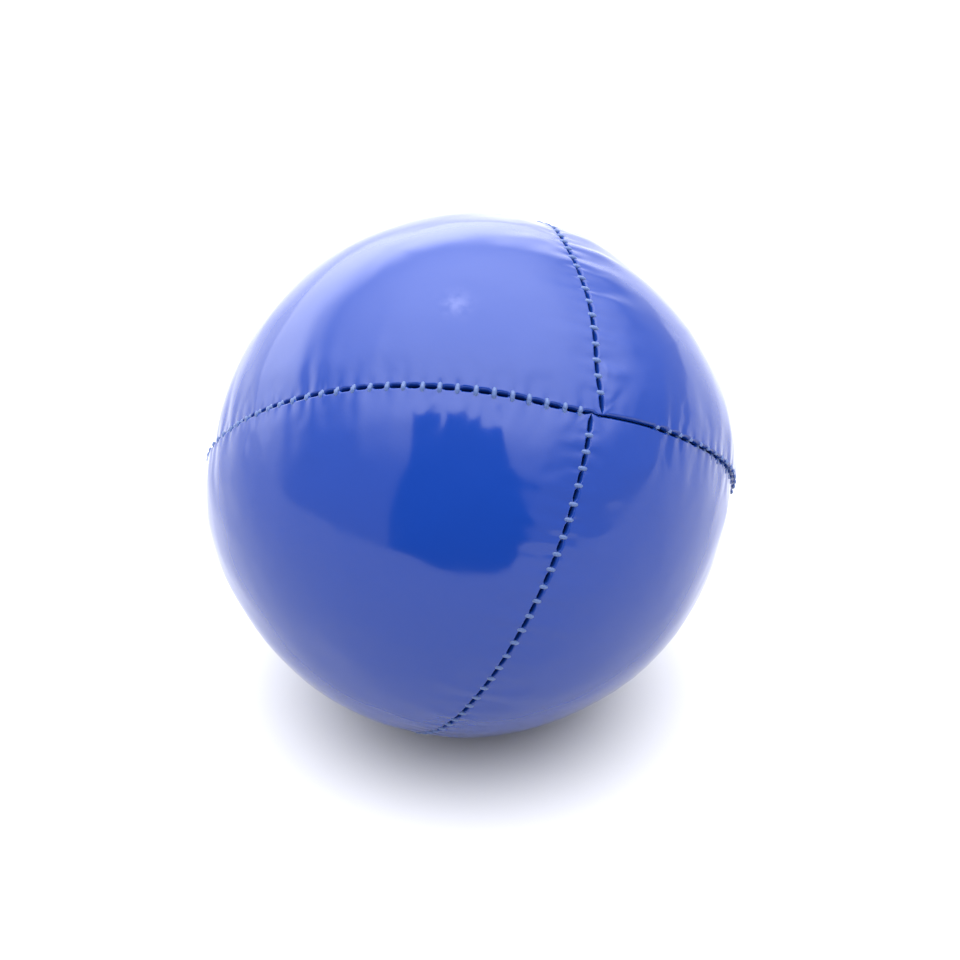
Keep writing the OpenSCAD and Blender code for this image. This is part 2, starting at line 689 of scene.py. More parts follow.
    def settled(self, tree: Tree, x: Field, y: Field, z: Field) -> Field:
        """Lets the ball down on its flat, with a soft turn where it meets the table.

        Args:
            tree: The tree that the piece is made in.
            x: How far right each point is.
            y: How far back it is.
            z: How far above the table a round ball would have it.

        Returns:
            Places in the row frame.
        """
        level = (z + (z * z + self.flat_edge * self.flat_edge).sqrt()) * 0.5
        return tree.vector(x, y, level - self.flat_edge * self.flat_share)


@dataclass(frozen=True)
class Stitching:
    """The machine stitching of the cover."""

    around: int = 97
    along_cross: int = 47
    hand: int = 4
    depth: float = 1.3 * MM
    thread: float = 0.34 * MM

    @property
    def pitch(self) -> float:
        """Angle from one stitch to the next."""
        return 2 * math.pi / self.around

    @property
    def hand_end(self) -> float:
        """Angle from the front crossing at which the hand stitching ends, on the right."""
        return self.pitch * self.hand


@dataclass(frozen=True)
class CoverCloth:
    """The whole cover as one cloth, held at its stitches and blown out by its filling.

    It works at many times full size, where Cloth is steady. The ball's pieces are laid on its
    relief, and it is thrown away afterwards.

    Args:
        radius: The ball's radius.
        twist: Angle between the upper and lower cross seams.
        stitching: The stitches that hold it.
        enlarged: How many times full size it works at.
        detail: How finely its ball of triangles is divided.
        frames: How many frames it is blown out for.
        slack: How much larger than the ball the cloth is cut.
        pressure: How hard the filling pushes.
        grip: How far from a stitch the cloth is held.
        least_grip: A point that is held less than this is left free.
        quality: How many steps Cloth takes to a frame.
    """

    radius: float
    twist: float
    stitching: Stitching
    enlarged: float = 10.0
    detail: int = 7
    frames: int = 12
    slack: float = 0.014
    pressure: float = 2.0
    grip: float = 0.45 * MM
    least_grip: float = 0.05
    quality: int = 5

    def hold(self, place: Vector) -> float:
        """Finds how firmly a point is held by the nearest stitch.

        Args:
            place: The point, in the seam frame.

        Returns:
            1 on a stitch, falling away to 0.
        """
        pitch = self.stitching.pitch
        around = math.atan2(place.y, place.x)
        steps = around / pitch - 0.5
        hand = 0 <= around < self.stitching.hand_end
        beside = 0.0 if hand else abs(steps - round(steps)) * pitch * self.radius
        main = math.hypot(beside, place.z)
        own = Matrix.Rotation(-math.copysign(self.twist / 2, place.z), 3, "Z") @ place
        climb = math.atan2(abs(own.z), own.x) - math.pi / 2
        steps = climb / pitch
        machine = abs(steps) < self.stitching.along_cross / 2
        beside = abs(steps - round(steps)) * pitch * self.radius if machine else self.grip / 2
        return math.exp(-((min(main, math.hypot(beside, own.y)) / self.grip) ** 2))

    def build(self) -> bpy.types.Object:
        """Runs the cloth.

        Returns:
            The settled cover in the seam frame, its middle radius equal to the ball's.
        """
        work = bmesh.new()
        size = self.radius * self.enlarged
        bmesh.ops.create_icosphere(work, subdivisions=self.detail, radius=size)
        cover = new_object("cover_gauge", work)
        held = cover.vertex_groups.new(name="held")
        for vertex in cover.data.vertices:
            grip = self.hold(vertex.co / self.enlarged)
            if grip > self.least_grip:
                held.add([vertex.index], grip, "REPLACE")
        self.blow(cover, held.name)
        graph = bpy.context.evaluated_depsgraph_get()
        settled = bpy.data.meshes.new_from_object(cover.evaluated_get(graph))
        cover.modifiers.clear()
        bpy.context.scene.frame_set(1)
        reach = sorted(vertex.co.length for vertex in settled.vertices)
        settled.transform(Matrix.Scale(self.radius / reach[len(reach) // 2], 4))
        cover.data = settled
        return cover

    def blow(self, cover: bpy.types.Object, held: str) -> None:
        """Blows the cover out from inside for a few frames, with a little slack to pucker.

        Args:
            cover: The cover, enlarged.
            held: The name of its group of held points.
        """
        cloth = cover.modifiers.new("Cloth", "CLOTH")
        settings = cloth.settings
        settings.quality = self.quality
        settings.vertex_group_mass = held
        settings.use_pressure = True
        settings.uniform_pressure_force = self.pressure
        settings.shrink_min = -self.slack
        settings.effector_weights.gravity = 0
        cloth.collision_settings.use_collision = False
        for step in range(1, self.frames + 1):
            bpy.context.scene.frame_set(step)
        smooth = cover.modifiers.new("Smooth", "SUBSURF")
        smooth.levels = smooth.render_levels = 1


@dataclass(frozen=True)
class GlossyLeathercloth:
    """Blue coated cloth with a wet gloss, a faint grain, and painted shade in its seams."""

    name: str = "panel_vinyl"
    base: Colour = (0.004, 0.028, 0.190)
    # Colour of the painted shade deep down in a seam's groove.
    deep: Colour = (0.006, 0.026, 0.16)
    cloud_scale: float = 60.0
    cloud_share: float = 0.35
    cloud_light: float = 1.12
    roughness: float = 0.45
    roughness_spread: float = 0.10
    coat_roughness: float = 0.13
    coat_ior: float = 1.42
    # Painted highlight: a small pale glint painted on the upper left panel.
    glint_place: tuple[float, float, float] = (-1.8 * MM, -9.6 * MM, 62.4 * MM)
    glint_size: float = 1.7 * MM
    glint_scale: float = 650.0
    glint_share: float = 0.22
    glint_colour: Colour = (0.20, 0.22, 0.40)
    grain_scale: float = 2600.0
    grain_share: float = 0.35
    peel_scale: float = 520.0
    peel_height: float = 0.3 * MM
    peel_strength: float = 0.10

    def make(self) -> bpy.types.Material:
        """Builds the material.

        Returns:
            The leathercloth, which reads how much painted shade each point gets from its seam.
        """
        material, tree, shader = new_material(self.name)
        place = tree.node("ShaderNodeTexCoord", {}, {}, "Object")
        # Painted shade: the seam attribute read here darkens the cloth towards the deep colour down in
        # the grooves.
        depth = tree.node("ShaderNodeAttribute", {"attribute_name": "seam_depth"}, {}, "Fac")
        cloud = tree.noise(place, self.cloud_scale, 3.0)
        tint = tree.shades(cloud * self.cloud_share, self.base, 1.0, self.cloud_light)
        colour = tree.mix_colour(depth.clamped(), tint, self.deep)
        # Painted highlight: the pale glint spot, broken up by noise.
        painted_glint = tree.between(place, self.glint_place, "DISTANCE").bell(self.glint_size)
        painted_glint = painted_glint * tree.noise(place, self.glint_scale).rise(0.30, 0.70)
        grain = tree.noise(place, self.grain_scale, 3.0)
        relief = grain * self.grain_share + tree.noise(place, self.peel_scale)
        bump = {"Strength": self.peel_strength, "Distance": self.peel_height, "Height": relief}
        looks = {
            "Base Color": tree.mix_colour(painted_glint * self.glint_share, colour, self.glint_colour),
            "Roughness": (cloud - 0.5) * self.roughness_spread + self.roughness,
            "Normal": tree.node("ShaderNodeBump", {}, bump),
            "Coat Weight": 1.0,
            "Coat Roughness": self.coat_roughness,
            "Coat IOR": self.coat_ior,
            "Specular IOR Level": 0.0,
        }
        dress(tree, shader, looks)
        return material


@dataclass(frozen=True)
class SewingThread:
    """Twisted thread with a little sheen."""

    name: str
    base: Colour
    dark: float = 0.7
    light: float = 1.2
    roughness: float = 0.45
    sheen: float = 0.1
    fibre_scale: float = 9000.0
    fibre_height: float = 0.05 * MM
    fibre_strength: float = 0.3

    def make(self) -> bpy.types.Material:
        """Builds the material.

        Returns:
            The thread's material.
        """
        material, tree, shader = new_material(self.name)
        fibre = tree.noise(tree.node("ShaderNodeTexCoord", {}, {}, "Object"), self.fibre_scale)
        bump = {"Strength": self.fibre_strength, "Distance": self.fibre_height, "Height": fibre}
        looks = {
            "Base Color": tree.shades(fibre, self.base, self.dark, self.light),
            "Normal": tree.node("ShaderNodeBump", {}, bump),
            "Roughness": self.roughness,
            "Sheen Weight": self.sheen,
        }
        dress(tree, shader, looks)
        return material


@dataclass(frozen=True)
class MilletSeed:
    """Small shiny straw-coloured seed."""

    name: str = "seed"
    base: Colour = (0.62, 0.40, 0.13)
    dark: float = 0.6
    light: float = 1.5
    roughness: float = 0.4
    tone_scale: float = 450.0

    def make(self) -> bpy.types.Material:
        """Builds the material.

        Returns:
            The seed's material.
        """
        material, tree, shader = new_material(self.name)
        tone = tree.noise(tree.node("ShaderNodeTexCoord", {}, {}, "Object"), self.tone_scale, 1.0)
        colour = tree.shades(tone, self.base, self.dark, self.light)
        dress(tree, shader, {"Base Color": colour, "Roughness": self.roughness})
        return material


@dataclass
class Panel:
    """One quarter of the cover, with its rolled edges, allowances and lining, as one closed shell.

    Args:
        lay: How the ball lies.
        stitching: The stitches.
        half: The half that the panel belongs to.
        side: Its side of the cross seams.
        cloth: The cloth's thickness.
        allowance: Width of the allowances that are turned into the ball.
        groove: Depth of the groove along a seam.
        roll: How far a rolled edge reaches from its seam.
        opening: Half the gap between two panels' edges, between stitches.
        stitch_closes: How much of the groove a stitch closes.
        point_room: How many rolls wide a panel must be for a seam of full depth.
        point_groove: How much of the groove is left at the panel's points.
        hand_pull: How tight the hand stitching is, where a machine stitch has 1.
        snug_from: Angle at which the right-hand main seam begins to tighten.
        snug_to: Angle from which it is tight.
        snug_by: How much of the groove is lost there.
        edge_columns: How evenly the skin's columns are spread, rather than crowded to the seams.
        pucker: How far the cover is pinched in beside a stitch.
        pucker_reach: How far from the seam a pinch reaches.
        puff: How far the cover rises between stitches, as a share of the pucker.
        puff_reach: How far from the seam that reaches.
        calm_reach: Share of the way from the panel's middle line in which its relief fades in.
        shadow: How far the painted seam shade runs up its rolled edges.
        ripple: Height of the ripples beside a seam.
        busy_ripple: Their height beside the upper right panel's cross seam.
        ripple_turns: How fast ripples follow each other along a seam.
        ripple_wander: How unevenly they do.
        ripple_middle: Where they are highest, off the seam.
        ripple_reach: How far they run from there.
        weld: Points nearer than this become one.
        rows: Rows from crossing to crossing.
        flange_columns: Columns over an allowance.
        roll_columns: Columns over a rolled edge.
        skin_columns: Columns over half the skin.
        back_columns: Columns down the back of an allowance.
        lining_columns: Columns over half the lining.
        folds: Folds that run out from the cross seam.
    """

    lay: Lay
    stitching: Stitching
    half: Half
    side: Side
    cloth: float = 0.9 * MM
    allowance: float = 4.0 * MM
    groove: float = 0.85 * MM
    roll: float = 0.36 * MM
    opening: float = 0.11 * MM
    stitch_closes: float = 0.7
    point_room: float = 2.6
    point_groove: float = 0.4
    hand_pull: float = 0.45
    snug_from: float = 0.3
    snug_to: float = 0.7
    snug_by: float = 0.4
    edge_columns: float = 0.12
    pucker: float = 0.04 * MM
    pucker_reach: float = 1.1 * MM
    puff: float = 0.4
    puff_reach: float = 1.3 * MM
    calm_reach: float = 0.6
    shadow: float = 1.2
    ripple: float = 0.05 * MM
    busy_ripple: float = 0.12 * MM
    ripple_turns: float = 34.0
    ripple_wander: float = 9.0
    ripple_middle: float = 3.0 * MM
    ripple_reach: float = 4.0 * MM
    weld: float = 0.004 * MM
    rows: int = 433
    flange_columns: int = 4
    roll_columns: int = 9
    skin_columns: int = 34
    back_columns: int = 2
    lining_columns: int = 8
    folds: list[Fold] = field(default_factory=list)

    @property
    def node(self) -> str:
        """Name of the CAD node that the panel stands for."""
        return f"{self.half.name.lower()}_{self.side.name.lower()}_panel"

    def section(self, tree: Workshop, columns: int) -> tuple[Field, Field, Field, Field]:
        """Starts a strip that wraps the panel's section and runs from crossing to crossing.

        Args:
            tree: The tree that the panel is made in.
            columns: Columns in each half of the section.

        Returns:
            The strip, how far each point is into its half of the section from the allowance's
            end, whether it is in the cross seam's half, and its angle along the seam.
        """
        strip = tree.node(
            "GeometryNodeMeshGrid",
            {},
            {"Size X": 1.0, "Size Y": 1.0, "Vertices X": 2 * columns + 1, "Vertices Y": self.rows},
        )
        across, along, _ = tree.here().parts()
        inwards = 1.0 - (across * 2.0).magnitude()
        cross = tree.math("GREATER_THAN", across, 0.0)
        return strip, inwards, cross, (along + 0.5) * math.pi

    def put(self, tree: Workshop, rho: Field, off: Field, along: Field, cross: Field) -> Field:
        """Puts points in the seam frame.

        Args:
            tree: The tree that the panel is made in.
            rho: Their distance from the ball's centre.
            off: Their distance off the plane of the nearer seam.
            along: Their angle along that seam.
            cross: Whether that seam is the cross seam.

        Returns:
            Their places.
        """
        reach = (rho * rho - off * off).sqrt()
        front = reach * along.cos()
        out = reach * along.sin()
        sideways = tree.choose(cross, out, off)
        upwards = tree.choose(cross, off, out)
        return tree.vector(front, sideways * float(self.side.value), upwards * float(self.half.value))

    def laid(self, tree: Workshop, point: Field) -> Field:
        """Lays places of this panel on the resting ball."""
        up = self.half.value
        return self.lay.lay(tree, self.lay.in_half(tree, point, up), up)

    def main_angle(self, tree: Workshop, along: Field) -> Field:
        """Finds where around the main seam a panel's edge ends up once its half is turned.

        Args:
            tree: The tree that the panel is made in.
            along: Angle along the panel's edge.

        Returns:
            Angle from the seam frame's front crossing, which the stitches are counted by.
        """
        reach = self.lay.radius
        edge = tree.vector(along.cos() * reach, along.sin() * (reach * self.side.value), 0.0)
        x, y, _ = self.lay.in_half(tree, edge, self.half.value).parts()
        return tree.math("ARCTAN2", y * self.side.value, x)

    def rungs(self, tree: Workshop, along: Field, cross: Field) -> Field:
        """Finds where stitches pull the panels' edges together.

        Args:
            tree: The tree that the panel is made in.
            along: Angle along the seam.
            cross: Whether it is the cross seam.

        Returns:
            1 at a stitch, falling to 0 between stitches.
        """
        pitch = self.stitching.pitch
        around = self.main_angle(tree, along)
        main = ((around / pitch - 0.5) * (2 * math.pi)).cos().rise(0.0, 0.7)
        if self.side is Side.RIGHT:
            tight = around.rise(self.stitching.hand_end, self.stitching.hand_end + 0.02)
            main = main * tight + (1.0 - tight) * self.hand_pull
        other = ((along - math.pi / 2) * (2 * math.pi / pitch)).cos().rise(0.0, 0.7)
        reach = (self.stitching.along_cross / 2) * pitch
        other = other * (1.0 - (along - math.pi / 2).magnitude().rise(reach, reach + 0.02))
        return tree.choose(cross, main, other)

    def skin(self, tree: Workshop, radius: Field, cloth: Field, allowance: Field) -> Field:
        """Makes the outer side of the panel, from one allowance's end over the skin to the other's.

        Args:
            tree: The tree that the panel is made in.
            radius: The ball's radius.
            cloth: The cloth's thickness.
            allowance: The allowances' width.

        Returns:
            The outer side, which keeps how much painted shade each point gets from its seam.
        """
        total = self.flange_columns + self.roll_columns + self.skin_columns
        strip, inwards, cross, along = self.section(tree, total)
        first = self.flange_columns / total
        second = (self.flange_columns + self.roll_columns) / total
        climb = (inwards / first).clamped()
        bend = ((inwards - first) / (second - first)).clamped() * (math.pi / 2)
        over = ((inwards - second) / (1 - second)).clamped()
        rung = self.rungs(tree, along, cross)
        middle = radius * along.sin() / (along.sin() * along.sin() + 1.0).sqrt()
        room = (middle / (self.point_room * self.roll)).clamped()
        snug = self.snugness(tree, along, cross)
        closed = rung * self.stitch_closes
        groove = (1.0 - closed) * tree.choose(room, self.point_groove, 1.0) * (snug * self.groove)
        roll = room * (snug * self.roll)
        gap = (1.0 - rung) * climb * climb * room * (snug * self.opening)
        end = radius - cloth - allowance
        rho = end + (radius - groove - end) * climb + groove * bend.sin()
        edge = gap + roll * (1.0 - bend.cos())
        spread = tree.choose(self.edge_columns, over * over * over, over)
        off = edge + (middle - edge) * spread
        puffed = (1.0 - rung) * off.bell(self.puff_reach) * self.puff
        pinch = rung * off.bell(self.pucker_reach) - puffed
        calm = (1.0 - off / middle).rise(0.0, self.calm_reach) * room * bend.sin()
        rho = rho + (self.ripples(tree, along, cross, off) - pinch * self.pucker) * calm
        # Painted shade of the groove, fading up the rolled edge and lost where a stitch closes the
        # groove.
        depth = ((1.0 - bend.sin()) * self.shadow).clamped() * (1.0 - closed)
        place = self.laid(tree, self.put(tree, rho, off, along, cross))
        return tree.place(tree.keep(strip, "seam_depth", depth), place)

    def snugness(self, tree: Workshop, along: Field, cross: Field) -> Field | float:
        """Finds how open the seam's groove is, for the main seam is drawn tighter on the right.

        Args:
            tree: The tree that the panel is made in.
            along: Angle along the seam.
            cross: Whether it is the cross seam.

        Returns:
            1 for the usual groove, and less where the seam is tight.
        """
        if self.side is Side.LEFT:
            return 1.0
        tight = along.rise(self.snug_from, self.snug_to) * self.snug_by
        return tree.choose(cross, 1.0 - tight, 1.0)

    def ripples(self, tree: Workshop, along: Field, cross: Field, off: Field) -> Field:
        """Makes slight folds that run out from a seam where its stitches gather the cloth.

        Args:
            tree: The tree that the panel is made in.
            along: Angle along the seam.
            cross: Whether it is the cross seam.
            off: Distance off the seam.

        Returns:
            How far each point stands out.
        """
        wander = tree.noise(tree.vector(along * 5.0, cross * 3.0, 0.0), 1.0, 1.0, 5.0)
        busy = self.side is Side.RIGHT and self.half is Half.UPPER
        strength = tree.choose(cross, self.ripple, self.busy_ripple if busy else self.ripple)
        wave = (along * self.ripple_turns + wander * self.ripple_wander).sin()
        reach = (off - self.ripple_middle).bell(self.ripple_reach)
        out = wave * reach * strength * (wander * 1.6).clamped()
        for fold in self.folds:
            ridge = (along - fold.along).bell(fold.width / self.lay.radius)
            rising = off.rise(0.3 * MM, 1.2 * MM) * off.bell(fold.reach)
            out = out + cross * ridge * rising * fold.height
        return out

    def lining(self, tree: Workshop, radius: Field, cloth: Field, allowance: Field) -> Field:
        """Makes the inner side of the panel, from the back of one allowance to the other's.

        Args:
            tree: The tree that the panel is made in.
            radius: The ball's radius.
            cloth: The cloth's thickness.
            allowance: The allowances' width.

        Returns:
            The inner side, which gets no painted seam shade.
        """
        total = 1 + self.back_columns + self.lining_columns
        strip, inwards, cross, along = self.section(tree, total)
        first = 1 / total
        second = (1 + self.back_columns) / total
        across = (inwards / first).clamped()
        climb = ((inwards - first) / (second - first)).clamped()
        over = ((inwards - second) / (1 - second)).clamped()
        end = radius - cloth - allowance
        rho = end + allowance * climb
        middle = rho * along.sin() / (along.sin() * along.sin() + 1.0).sqrt()
        thick = cloth.at_most(middle * 0.6) * across
        off = thick + (middle - thick) * over
        place = self.laid(tree, self.put(tree, rho, off, along, cross))
        return tree.place(tree.keep(strip, "seam_depth", across * 0.0), place)

    def build(self, material: bpy.types.Material) -> bpy.types.Object:
        """Makes the panel.

        Args:
            material: The leathercloth.

        Returns:
            The finished piece, riding on its body.
        """
        tree = Workshop(f"{self.node}_making")
        radius = tree.size("Radius", self.lay.radius)
        cloth = tree.size("Cloth", self.cloth)
        allowance = tree.size("Allowance", self.allowance)
        shell = tree.join(
            self.skin(tree, radius, cloth, allowance), self.lining(tree, radius, cloth, allowance)
        )
        piece = tree.finish(shell, material, f"{self.node}_leathercloth")
        close_up(piece, self.weld)
        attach(piece, BODY)
        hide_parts(self.node)
        LOG.info("%s: %d faces", piece.name, len(piece.data.polygons))
        return piece


@dataclass
class SeamThread:
    """One thread of a lockstitched seam: its run along an allowance, and its half of each stitch.

    Args:
        lay: How the ball lies.
        stitching: The stitches.
        seam: The seam that it sews.
        needle: Whether it is the needle thread, and not the bobbin thread.
        cloth: The cloth's thickness.
        bar_reach: How far a stitch shows to one side of the seam.
        bar_rise: How high a stitch lies against the ball's radius.
        bar_arch: How far its middle is drawn out over the shoulder, and its end past it.
        bar_drop: How far its end dives into the cloth.
        bar_overlap: How far it runs past the middle of the seam, into the other thread's half.
        bar_thickness: Half a stitch's thickness, in threads.
        jitter: How far a stitch strays from its place, in stitches.
        dip: How far the run dips to a stitch hole, in cloth thicknesses.
        steps_per_stitch: Points of the run to each stitch.
        weld: Points nearer than this become one.
    """

    lay: Lay
    stitching: Stitching
    seam: Seam
    needle: bool
    cloth: float = 0.9 * MM
    bar_reach: float = 0.46 * MM
    bar_rise: float = -0.07 * MM
    bar_arch: float = 0.10 * MM
    bar_drop: float = 0.42 * MM
    bar_overlap: float = 0.06 * MM
    bar_thickness: float = 0.84
    jitter: float = 0.05
    dip: float = 0.55
    steps_per_stitch: int = 6
    weld: float = 0.001 * MM

    @property
    def node(self) -> str:
        """Name of the CAD node that the thread stands for."""
        return f"{self.seam.value}_{'needle' if self.needle else 'bobbin'}_thread"

    def angles(self) -> tuple[float, float, int]:
        """Finds where the seam's machine stitches are.

        Returns:
            The first stitch's angle from the front crossing, the last one's, and their count.
        """
        pitch = self.stitching.pitch
        if self.seam is Seam.MAIN:
            first = (self.stitching.hand + 0.5) * pitch
            count = self.stitching.around - self.stitching.hand
        else:
            count = self.stitching.along_cross
            first = math.pi / 2 - (count - 1) / 2 * pitch
        return first, first + (count - 1) * pitch, count

    def laid(self, tree: Workshop, flat: Field) -> Field:
        """Lays a ring that is drawn flat, with this thread towards +Z, along its seam.

        Args:
            tree: The tree that the thread is made in.
            flat: Places with the seam in the XY plane.

        Returns:
            Places in the row frame.
        """
        x, y, z = flat.parts()
        if self.seam is Seam.MAIN:
            up = 1 if self.needle else -1
            return self.lay.lay(tree, tree.vector(x, y, z * up), up)
        up = 1 if self.seam is Seam.UPPER_CROSS else -1
        right = 1 if self.needle else -1
        return self.lay.lay(tree, self.lay.in_half(tree, tree.vector(x, z * right, y * up), up), up)

    def build(self, material: bpy.types.Material) -> bpy.types.Object:
        """Makes the thread.

        Args:
            material: The thread's material.

        Returns:
            The finished piece, riding on its body.
        """
        tree = Workshop(f"{self.node}_making")
        first, last, count = self.angles()
        pitch = tree.size("Stitch pitch", self.stitching.pitch)
        begin = tree.size("First stitch", first)
        thread = tree.size("Thread", self.stitching.thread)
        stitches = tree.size("Stitches", count)
        bars = self.bars(tree, pitch, begin, thread, stitches)
        run = self.run(tree, first, last, count, thread)
        whole = tree.node("GeometryNodeRealizeInstances", {}, {0: tree.join(bars, run)})
        laid = tree.place(whole, self.laid(tree, tree.here()))
        piece = tree.finish(laid, material, f"{self.node}_stitches")
        close_up(piece, self.weld)
        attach(piece, BODY)
        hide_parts(self.node)
        LOG.info("%s: %d faces", piece.name, len(piece.data.polygons))
        return piece

    def bars(
        self, tree: Workshop, pitch: Field, begin: Field, thread: Field, stitches: Field
    ) -> Field:
        """Makes half of every stitch: a bar from the middle of the seam over one shoulder.

        Args:
            tree: The tree that the thread is made in.
            pitch: Angle from one stitch to the next.
            begin: Angle of the first stitch.
            thread: The thread's thickness.
            stitches: How many stitches there are.

        Returns:
            The bars, drawn flat.
        """
        top = self.lay.radius + self.bar_rise
        arc = tree.node(
            "GeometryNodeCurveQuadraticBezier",
            {},
            {
                "Resolution": 6,
                "Start": (top - self.bar_arch, 0.0, -self.bar_overlap),
                "Middle": (top + self.bar_arch, 0.0, self.bar_reach * 0.6),
                "End": (top - self.bar_drop, 0.0, self.bar_reach + self.bar_arch),
            },
        )
        bar = sweep(tree, arc, ring(tree, thread * self.bar_thickness, 8))
        points = tree.node("GeometryNodePoints", {}, {"Count": stitches})
        index = tree.node("GeometryNodeInputIndex", {}, {})
        jitter = tree.node(
            "FunctionNodeRandomValue", {}, {2: -self.jitter, 3: self.jitter, "Seed": 7}, 1
        )
        angle = begin + (index + jitter) * pitch
        return tree.node(
            "GeometryNodeInstanceOnPoints",
            {},
            {"Points": points, "Instance": bar, "Rotation": tree.vector(0.0, 0.0, angle)},
        )

    def run(
        self, tree: Workshop, first: float, last: float, count: int, thread: Field
    ) -> Field:
        """Makes the thread's run along the back of an allowance, dipping to each stitch hole.

        Args:
            tree: The tree that the thread is made in.
            first: Angle of the first stitch.
            last: Angle of the last stitch.
            count: How many stitches there are.
            thread: The thread's thickness.

        Returns:
            The run, drawn flat.
        """
        steps = count * self.steps_per_stitch
        line = tree.node(
            "GeometryNodeCurvePrimitiveLine", {}, {"Start": (0.0, 0.0, 0.0), "End": (1.0, 0.0, 0.0)}
        )
        fine = tree.node("GeometryNodeResampleCurve", {}, {"Curve": line, "Count": steps})
        share, _, _ = tree.here().parts()
        angle = share * (last - first) + first
        reach = self.lay.radius - self.stitching.depth
        hole = (share * (count - 1) * 2 * math.pi).cos().rise(0.4, 1.0)
        height = self.cloth + thread * 0.5 - hole * (self.dip * self.cloth)
        bent = tree.place(fine, tree.vector(angle.cos() * reach, angle.sin() * reach, height))
        return sweep(tree, bent, ring(tree, thread * 0.5, 6))


@dataclass
class SeedFilling:
    """The bed of seed: a solid heart with loose seed lying over it, clear of the allowances.

    Args:
        lay: How the ball lies.
        cloth: The cloth's thickness.
        seed_radius: Radius of the largest seed.
        least_seed: The smallest seed's size, where the largest has 1.
        seed_flatness: A seed's height, where its width is 1.
        spacing: Least distance between the middles of two seeds.
        bed_depth: How deep under the cloth the seeds' middles lie, in seed radii.
        heart_depth: How deep under the cloth the heart lies.
        channel: How far off a seam's plane the loose seed begins.
        floor_gap: How far the bed stays off the resting panel's lining.
        most_seeds: How many seeds could lie to a square metre.
        weld: Points nearer than this become one.
        node: Name of the CAD node that the bed stands for.
    """

    lay: Lay
    cloth: float = 0.9 * MM
    seed_radius: float = 0.95 * MM
    least_seed: float = 0.82
    seed_flatness: float = 0.85
    spacing: float = 1.75 * MM
    bed_depth: float = 1.35
    heart_depth: float = 5.2 * MM
    channel: float = 2.3 * MM
    floor_gap: float = 0.2 * MM
    most_seeds: float = 900000.0
    weld: float = 0.001 * MM
    node: str = "seed_fill"

    def build(self, material: bpy.types.Material) -> bpy.types.Object:
        """Makes the filling.

        Args:
            material: The seed's material.

        Returns:
            The finished piece, riding on its body.
        """
        tree = Workshop("seed_filling_making")
        seed_radius = tree.size("Seed radius", self.seed_radius)
        room = self.lay.radius - self.cloth
        bed_radius = tree.size("Bed radius", room - self.bed_depth * self.seed_radius)
        heart_radius = tree.size("Heart radius", room - self.heart_depth)
        bed = tree.node("GeometryNodeMeshIcoSphere", {}, {"Radius": bed_radius, "Subdivisions": 5})
        spots = tree.node(
            "GeometryNodeDistributePointsOnFaces",
            {"distribute_method": "POISSON"},
            {"Mesh": bed, "Distance Min": self.spacing, "Density Max": self.most_seeds, "Seed": 4},
        )
        _, y, z = tree.here().parts()
        near = tree.math("LESS_THAN", y.magnitude().at_most(z.magnitude()), self.channel)
        clear = tree.node(
            "GeometryNodeDeleteGeometry", {"domain": "POINT"}, {"Geometry": spots, "Selection": near}
        )
        seed = tree.node(
            "GeometryNodeMeshUVSphere", {}, {"Segments": 6, "Rings": 4, "Radius": seed_radius}
        )
        spin = tree.node(
            "FunctionNodeRandomValue",
            {"data_type": "FLOAT_VECTOR"},
            {0: (0.0, 0.0, 0.0), 1: (6.28, 6.28, 6.28), "Seed": 11},
        )
        size = tree.node("FunctionNodeRandomValue", {}, {2: self.least_seed, 3: 1.0, "Seed": 12}, 1)
        flat = tree.vector(size, size, size * self.seed_flatness)
        seeds = tree.node(
            "GeometryNodeInstanceOnPoints",
            {},
            {"Points": clear, "Instance": seed, "Rotation": spin, "Scale": flat},
        )
        heart = tree.node("GeometryNodeMeshIcoSphere", {}, {"Radius": heart_radius, "Subdivisions": 4})
        whole = tree.node("GeometryNodeRealizeInstances", {}, {0: tree.join(seeds, heart)})
        laid = tree.place(whole, self.rest(tree, tree.here()))
        piece = tree.finish(laid, material, "seed_bed")
        close_up(piece, self.weld)
        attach(piece, BODY)
        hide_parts(self.node)
        LOG.info("%s: %d faces", piece.name, len(piece.data.polygons))
        return piece

    def rest(self, tree: Workshop, point: Field) -> Field:
        """Puts the bed about the ball's centre and presses it flat over the resting panel.

        Args:
            tree: The tree that the filling is made in.
            point: Places in the seam frame.

        Returns:
            Places in the row frame.
        """
        x, y, z = turned(point, self.lay.attitude())
        low = self.cloth + self.floor_gap
        return tree.vector(x, y, (z + self.lay.centre.z).at_least(low))


